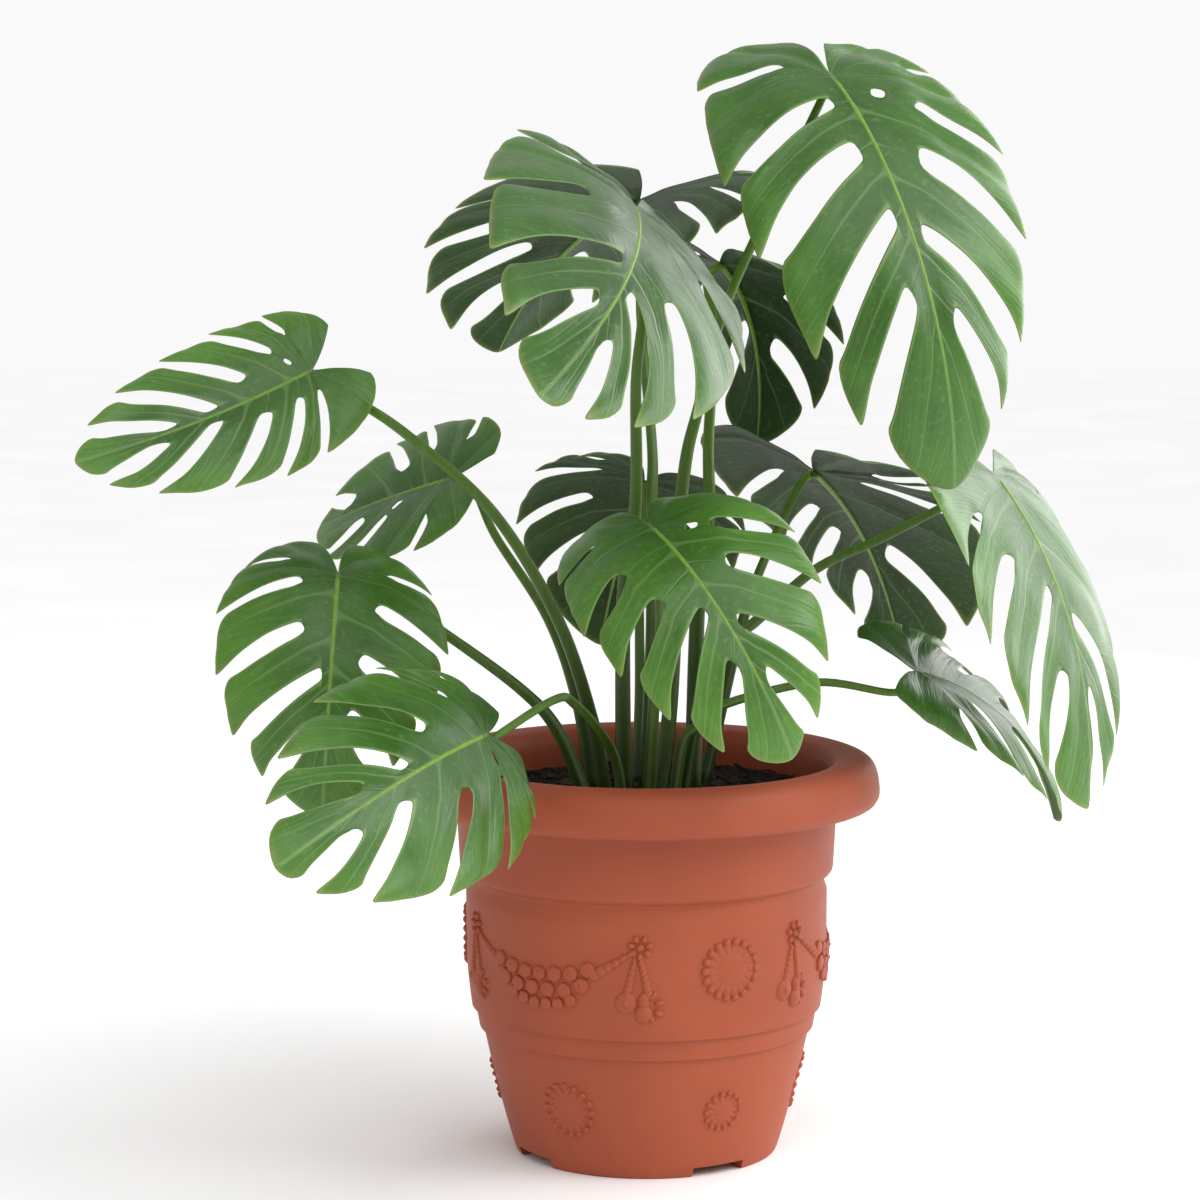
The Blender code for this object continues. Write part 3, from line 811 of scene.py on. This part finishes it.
def blade_shape(leaf, seed):
    """One leaf blade as a single sheet, with its measures."""
    shape = bmesh.new()
    bmesh.ops.create_grid(shape, x_segments=COLUMNS, y_segments=2 * ROWS, size=0.5)
    layers = [shape.verts.layers.float.new(name) for name in ("vein_mm", "midrib_mm", "edge_mm", "out")]
    halves = [columns_of(slots) for slots in leaf.slots]
    starts = []
    for column in range(COLUMNS + 1):
        shares = [share_at(leaf.slots[h], halves[h][1], halves[h][0][column], 0) for h in (0, 1)]
        starts.append((midrib_start(shares[0]) + midrib_start(shares[1])) / 2)
    levels = [(step / ROWS) ** ROW_SPREAD for step in range(ROWS + 1)]
    droops = [[random.Random(f"{leaf.name}{h}{k}").uniform(0, 7) for k in range(9)] for h in (0, 1)]
    cell = {}
    for vert in shape.verts:
        cell[vert] = (round((vert.co.x + 0.5) * COLUMNS), round(vert.co.y * 2 * ROWS))
    spare = []
    for face in shape.faces:
        number = min(cell[vert][0] for vert in face.verts)
        row = min(abs(cell[vert][1]) for vert in face.verts)
        half = 0 if sum(cell[vert][1] for vert in face.verts) > 0 else 1
        slot = halves[half][0][number].slot
        if slot >= 0 and row >= 1:
            start = leaf.slots[half][slot][1] / 100
            hole = HOLES.get((leaf.name, half, slot), NO_HOLE)
            if levels[row] > start - SLOT_ROUND or hole[0] <= levels[row] < hole[1]:
                spare.append(face)
    for vert, (number, row) in cell.items():
        half = 0 if row >= 0 else 1
        columns, fingers = halves[half]
        slots, column = leaf.slots[half], columns[number]
        level = levels[abs(row)]
        uneven = UNEVEN * noise.noise(Vector((number * 0.8, seed * 3.7, half * 5.1)))
        if column.finger == len(slots):
            uneven *= 1 - column.place
        reach = margin_share(column, column.finger == len(slots)) + uneven
        out = level * reach
        share = share_at(slots, fingers, column, out)
        along, across = on_flat_blade(leaf, half, share, starts[number], out)
        vein = share_at(slots, fingers, Column(column.finger, VEIN_PLACE, -1), out)
        vein_place = on_flat_blade(leaf, half, vein, starts[number], out)
        off_vein = (Vector((along, across)) - vein_place).length * leaf.length
        off_vein = math.copysign(off_vein, column.place - VEIN_PLACE)
        edges = []
        for end, slot in ((0.0, column.finger - 1), (1.0, column.finger)):
            if 0 <= slot < len(slots) and out > slots[slot][1] / 100 - 0.03:
                side = share_at(slots, fingers, Column(column.finger, end, -1), out)
                side = on_flat_blade(leaf, half, side, starts[number], out)
                edges.append((Vector((along, across)) - side).length * leaf.length)
        rim_place = on_flat_blade(leaf, half, share, starts[number], reach)
        edges.append((Vector((along, across)) - rim_place).length * leaf.length)
        if column.finger == 0:
            edges.append(column.place * 60 + 0.3 * leaf.length * out)
        off_edge = min(edges)
        lift = swell(leaf, seed, column, out, off_vein, off_edge) if row else 0.0
        lift -= droops[half][column.finger] * MM * out**3 * leaf.length / 300
        if column.finger == len(slots):
            lift *= 1 - ease(column.place)  # the two halves meet along the tip line
        for layer, value in zip(layers, (off_vein, across * leaf.length, off_edge, out)):
            vert[layer] = value
        vert.co = in_space(leaf, half, along, across, lift)
    bmesh.ops.delete(shape, geom=spare, context="FACES")
    tip = [vert for vert, (number, _) in cell.items() if vert.is_valid and number == COLUMNS]
    bmesh.ops.remove_doubles(shape, verts=tip, dist=0.00001)
    bmesh.ops.recalc_face_normals(shape, faces=shape.faces)
    up = leaf_axes(leaf)[1]
    if sum(face.normal.dot(up) for face in shape.faces) < 0:
        bmesh.ops.reverse_faces(shape, faces=shape.faces)
    return shape


print("slots with a hole behind them:", len(HOLES))

# %% [markdown]
# The upper side of a leaf is a waxy green skin. It is deepest near the midrib and turns lighter and yellower
# towards the fingers' ends; this lighter end colour is partly the leaf's own and partly painted light, for the
# light that shines through the thin fingers. Its edge is a thin pale line. Each finger's vein is a pale thread.
# Fine side veins run beside it as streaks, which also stand out a little. The wax is smooth enough to mirror
# the panels softly.

# %% Leaf finishes
DROPS_MM = 5  # the size of the specks that dried drops leave


def leaf_finish(name, roughness, gloss, deep, middle, young_and_backlit, pale):
    """A leaf skin whose colours run from the midrib to the fingers' ends, with veins and a pale edge."""
    look, shader = finish(name, roughness, 1.45)
    shader.inputs["Specular IOR Level"].default_value = gloss
    tree = look.node_tree
    measure = {
        key: add(look, "Attribute", attribute_name=key).outputs["Fac"]
        for key in ("vein_mm", "midrib_mm", "edge_mm", "out", "tone")
    }
    place = add(look, "TexCoord").outputs["Object"]
    blotch = add(look, "TexNoise", {"Vector": place, "Scale": 16.0, "Detail": 4.0}).outputs["Fac"]
    patch = add(
        look,
        "MapRange",
        {"Value": blotch, "From Min": 0.3, "From Max": 0.7, "To Min": 0.15, "To Max": 0.4},
    )
    mixed = add(look, "Math", {0: measure["out"], 1: 0.45, 2: patch.outputs[0]}, operation="MULTIPLY_ADD")
    # Adds the leaf's own value of painted light and shade, which moves the whole leaf along the skin's colours.
    run = add(look, "Math", {0: mixed.outputs[0], 1: measure["tone"]}, operation="ADD")
    # The skin's colours from the midrib out: the lighter yellow-green at the fingers' ends is partly painted
    # light shining through the blade.
    skin = add(look, "ValToRGB", {"Fac": run.outputs[0]})
    stops(skin, (0.1, deep), (0.55, middle), (1.0, young_and_backlit))
    # Fine side veins: streaks about 2.5 mm apart across the finger, long along it.
    lines = add(look, "CombineXYZ", {"X": measure["vein_mm"], "Y": measure["midrib_mm"], "Z": 0.0})
    streak = add(look, "Mapping", {"Vector": lines.outputs[0], "Scale": (0.4, 0.03, 1.0)})
    streaks = add(look, "TexNoise", {"Vector": streak.outputs[0], "Scale": 1.0, "Detail": 3.0}).outputs["Fac"]
    streaked = add(
        look,
        "MapRange",
        {"Value": streaks, "From Min": 0.3, "From Max": 0.7, "To Min": 0.86, "To Max": 1.14},
    )
    toned = add(
        look, "VectorMath", {0: skin.outputs["Color"], "Scale": streaked.outputs[0]}, operation="SCALE"
    )
    # The finger's vein: a thread about 1 mm wide, finer near the midrib, where the veins crowd together.
    off = add(look, "Math", {0: measure["vein_mm"]}, operation="ABSOLUTE").outputs[0]
    fine = add(look, "MapRange", {"Value": measure["out"], "From Max": 0.35, "To Min": 0.25, "To Max": 1.0})
    off = add(look, "Math", {0: off, 1: fine.outputs[0]}, operation="DIVIDE").outputs[0]
    thread = add(
        look,
        "MapRange",
        {"Value": off, "From Min": 0.2, "From Max": 0.9, "To Min": 0.32, "To Max": 0.0},
    )
    rim_line = add(
        look,
        "MapRange",
        {"Value": measure["edge_mm"], "From Min": 0.2, "From Max": 1.4, "To Min": 0.5, "To Max": 0.0},
    )
    rib_line = add(
        look,
        "MapRange",
        {"Value": measure["midrib_mm"], "From Min": 0.9, "From Max": 2.2, "To Min": 0.4, "To Max": 0.0},
    )
    most = add(look, "Math", {0: thread.outputs[0], 1: rim_line.outputs[0]}, operation="MAXIMUM")
    most = add(look, "Math", {0: most.outputs[0], 1: rib_line.outputs[0]}, operation="MAXIMUM")
    # A film of dried drops from watering, in specks of about 5 mm.
    drops = add(look, "TexNoise", {"Vector": place, "Scale": 1000 / DROPS_MM, "Detail": 4.0}).outputs["Fac"]
    film = add(
        look,
        "MapRange",
        {"Value": drops, "From Min": 0.56, "From Max": 0.78, "To Min": 0.0, "To Max": 0.28},
    )
    most = add(look, "Math", {0: most.outputs[0], 1: film.outputs[0]}, operation="MAXIMUM")
    # The ends of the fingers yellow along their edge.
    edge = add(look, "MapRange", {"Value": measure["edge_mm"], "From Max": 7.0, "To Min": 0.5, "To Max": 0.0})
    ends = add(look, "MapRange", {"Value": measure["out"], "From Min": 0.8, "From Max": 1.0})
    old = add(look, "Math", {0: edge.outputs[0], 1: ends.outputs[0]}, operation="MULTIPLY")
    aged = add(look, "Mix", {"Factor": old.outputs[0], 6: toned.outputs[0]}, data_type="RGBA")
    aged.inputs[7].default_value = linear("#7f8a3a")
    veined = add(look, "Mix", {"Factor": most.outputs[0]}, data_type="RGBA")
    tree.links.new(aged.outputs[2], veined.inputs[6])
    veined.inputs[7].default_value = linear(pale)
    tree.links.new(veined.outputs[2], shader.inputs["Base Color"])
    groove = add(look, "Math", {0: streaks, 1: thread.outputs[0]}, operation="SUBTRACT")
    bump = add(look, "Bump", {"Height": groove.outputs[0], "Strength": 0.45, "Distance": 0.0015})
    tree.links.new(bump.outputs["Normal"], shader.inputs["Normal"])
    wax_range = {"From Min": 0.3, "From Max": 0.7, "To Min": roughness - 0.05, "To Max": roughness + 0.07}
    wax = add(look, "MapRange", {"Value": blotch, **wax_range})
    tree.links.new(wax.outputs[0], shader.inputs["Roughness"])
    return look


upper_skin = leaf_finish("waxed leaf upper side", 0.33, 0.46, "#274a15", "#3a641d", "#568726", "#7d9a5a")
under_skin = leaf_finish("leaf underside", 0.55, 0.25, "#213a15", "#365726", "#4f7232", "#7a965a")
print("leaf finishes:", upper_skin.name, "and", under_skin.name)

# %% [markdown]
# The sheet gets its thickness from a Solidify modifier, which also gives the far side the underside's finish,
# and one step of Subdivision rounds the slots' ends and the fingers' corners.

# %% Blades
# How much further along the skin's colours a leaf starts: below 0 is deeper and bluer, above 0 yellower.
# These values are painted light and shade on whole leaves: the low values paint shade on the back leaves
# and the top front leaf, and the raised values paint light on the front and left leaves.
PAINTED_LEAF_SHADING = {
    "top_right": 0.0, "top_front": -0.22, "front": 0.12, "far_left": 0.12, "left": 0.1,
    "top_back": -0.25, "upper_back": -0.35, "middle_back": -0.25, "right_back": -0.35,
}
BLADE_MM = 0.9
for number, leaf in enumerate(LEAVES):
    sheet = blade_shape(leaf, number)
    made = piece(f"blade_{leaf.name}", sheet, upper_skin, f"leaf_{leaf.name}", sharp=None)
    made.data.materials.append(under_skin)
    # Each leaf's value of painted light and shade, the same at every point of it.
    tone = made.data.attributes.new("tone", "FLOAT", "POINT")
    for value in tone.data:
        value.value = PAINTED_LEAF_SHADING.get(leaf.name, 0.0)
    shell = made.modifiers.new("thickness", "SOLIDIFY")
    shell.thickness = BLADE_MM * MM
    shell.offset = 0
    shell.material_offset = 1
    rounder = made.modifiers.new("rounded", "SUBSURF")
    rounder.levels = rounder.render_levels = 1
print("faces in one blade sheet:", len(made.data.polygons))

# %% [markdown]
# ## The stalks
# A petiole is a long green stalk. Its lower part is a sheath: a groove with two thin papery edges. Near the
# blade it is round, thickens into a knee, bends, and carries on under the blade as the midrib. A tube is a
# rolled-up grid: along it run the steps of the route, around it the section, and the seam is merged.

# %% Stalk finish
stem, shader = finish("monstera stalk", 0.42, 1.45)
shader.inputs["Specular IOR Level"].default_value = 0.35
tree = stem.node_tree
length_share = add(stem, "Attribute", attribute_name="up_stalk").outputs["Fac"]
edge_share = add(stem, "Attribute", attribute_name="sheath_edge").outputs["Fac"]
place = add(stem, "TexCoord").outputs["Object"]
fibre = add(stem, "Mapping", {"Vector": place, "Scale": (260, 260, 14)})
fibres = add(stem, "TexNoise", {"Vector": fibre.outputs[0], "Scale": 1.0, "Detail": 3.0}).outputs["Fac"]
green = add(stem, "ValToRGB", {"Fac": length_share})
stops(green, (0.0, "#2d4214"), (0.25, "#425f1c"), (0.75, "#557a24"), (0.98, "#6d9433"))
fleck = add(
    stem,
    "MapRange",
    {"Value": fibres, "From Min": 0.3, "From Max": 0.7, "To Min": 0.82, "To Max": 1.12},
)
toned = add(stem, "VectorMath", {0: green.outputs["Color"], "Scale": fleck.outputs[0]}, operation="SCALE")
papery = add(stem, "Mix", {"Factor": edge_share}, data_type="RGBA")
tree.links.new(toned.outputs[0], papery.inputs[6])
papery.inputs[7].default_value = linear("#8d9472")
tree.links.new(papery.outputs[2], shader.inputs["Base Color"])
bump = add(stem, "Bump", {"Height": fibres, "Strength": 0.3, "Distance": 0.0008})
tree.links.new(bump.outputs["Normal"], shader.inputs["Normal"])
print("stalk finish:", stem.name)

# %% [markdown]
# Each stalk leaves the soil near the middle and arches out to its leaf. A few points give the route, and the
# smooth curve through them does the rest. The tube keeps on along the midrib under the blade, thinning out.

# %% Routes of the stalks
PETIOLES = {
    "top_right": (8.0, ((8, -32), (20, -20, 390), (30, 0, 570), (45, 5, 645), (70, 10, 735))),
    "top_front": (7.5, ((-20, -20), (-20, -35, 480), (-10, -45, 565), (-10, -55, 665), (-5, -60, 740))),
    "top_back": (7.0, ((0, 20), (5, 40, 435), (5, 60, 555), (5, 70, 605), (-5, 95, 730))),
    "upper_back": (8.0, ((40, 15), (45, 60, 460), (55, 80, 540), (55, 95, 605), (60, 105, 700))),
    "far_left": (7.0, ((-36, 0), (-45, 0, 365), (-75, -20, 460), (-130, -40, 555), (-200, -50, 620),
                       (-245, -45, 650))),
    "left_back": (6.0, ((-47, 20), (-60, 30, 385), (-85, 40, 455), (-130, 50, 525))),
    "left": (6.5, ((-51, -20), (-75, -20, 365), (-105, -20, 400), (-165, -20, 445), (-210, -25, 475))),
    "low_left": (5.0, ((-20, -52), (-30, -60, 355), (-60, -100, 400), (-80, -145, 410))),
    "middle_back": (6.0, ((-8, 55), (-5, 80, 375), (-5, 110, 460))),
    "front": (6.0, ((0, -70), (5, -90, 405), (10, -105, 475))),
    "right_back": (6.0, ((50, 42), (80, 70, 430), (100, 90, 490))),
    "right": (6.0, ((30, -15), (55, -10, 430), (90, 0, 455), (145, 20, 500), (200, 30, 525), (255, 20, 555))),
    "low_right": (5.5, ((22, -50), (30, -45, 360), (45, -40, 375), (65, -30, 390), (145, 0, 405))),
}
STEPS_BETWEEN = 9
STALK_TIP = 2.9
MIDRIB_STEPS = 26
SIDES = 20


def stalk_line(leaf):
    """The stalk's route in metres with a radius at each point: up from the soil, then along the midrib."""
    radius, route = PETIOLES[leaf.name]
    ahead, up, _ = leaf_axes(leaf)
    bend = Vector(leaf.junction) - up * 24 - ahead * 10
    top = Vector(leaf.junction) - up * 4.5 - ahead * 1.5
    line = smooth_path([(*route[0], SOIL_HEIGHT - 4), *route[1:], bend, top], STEPS_BETWEEN)
    places, count = [], len(line)
    for i, place in enumerate(line):
        share = i / (count - 1)
        thick = radius + (STALK_TIP - radius) * share**0.7
        knee = 0.9 * math.exp(-(((share - 0.93) / 0.045) ** 2))
        places.append((place * MM, (thick + knee) * MM, share))
    for step in range(1, MIDRIB_STEPS + 1):
        share = step / MIDRIB_STEPS
        thick = 0.45 + 2.2 * (1 - share) ** 0.8
        place = in_space(leaf, 0, 0.005 + 0.985 * share, 0.0, -(0.45 * thick + 0.1) * MM)
        places.append((place, thick * MM, 1.0 + share))
    return places


print("points along the first stalk:", len(stalk_line(LEAVES[0])))

# %% [markdown]
# The rolled grid gets its section from the angle round the tube: a hollow on one side and two raised lips,
# which fade out up the stalk as the sheath does. The lips carry a measure that makes them papery.

# %% Roll a grid into a stalk
def stalk_shape(leaf, facing):
    """A stalk as a rolled-up grid, grooved in its lower part on the side that faces the given direction."""
    places = stalk_line(leaf)
    shape = bmesh.new()
    bmesh.ops.create_grid(shape, x_segments=len(places) - 1, y_segments=SIDES, size=0.5)
    height, edge = [shape.verts.layers.float.new(name) for name in ("up_stalk", "sheath_edge")]
    for vert in shape.verts:
        i = round((vert.co.x + 0.5) * (len(places) - 1))
        j = round((vert.co.y + 0.5) * SIDES)
        place, radius, share = places[i]
        before, after = places[max(0, i - 1)][0], places[min(len(places) - 1, i + 1)][0]
        ahead = (after - before).normalized()
        front = (facing - ahead * facing.dot(ahead)).normalized()
        side = ahead.cross(front)
        turn = math.tau * j / SIDES
        away = min(turn, math.tau - turn)
        groove = max(0.0, 1 - share / 0.8) ** 0.5
        lip = math.exp(-(((away - 0.75) / 0.22) ** 2))
        hollow = math.exp(-((away / 0.5) ** 2))
        grown = radius * (1 + groove * (0.16 * lip - 0.30 * hollow))
        vert.co = place + (front * math.cos(turn) + side * math.sin(turn)) * grown
        vert[height] = min(1.0, share)
        vert[edge] = groove * 0.85 * math.exp(-(((away - 0.8) / 0.13) ** 2))
    bmesh.ops.remove_doubles(shape, verts=shape.verts, dist=0.000005)
    bmesh.ops.holes_fill(shape, edges=[edge for edge in shape.edges if edge.is_boundary])
    bmesh.ops.recalc_face_normals(shape, faces=shape.faces)
    return shape


dice = random.Random(11)
for leaf in LEAVES:
    facing = Vector((dice.uniform(-1, 1), -0.8, 0.15)).normalized()
    tube = stalk_shape(leaf, facing)
    piece(f"stalk_{leaf.name}", tube, stem, f"petiole_{leaf.name}", sharp=None)
print("stalks:", len(PETIOLES))
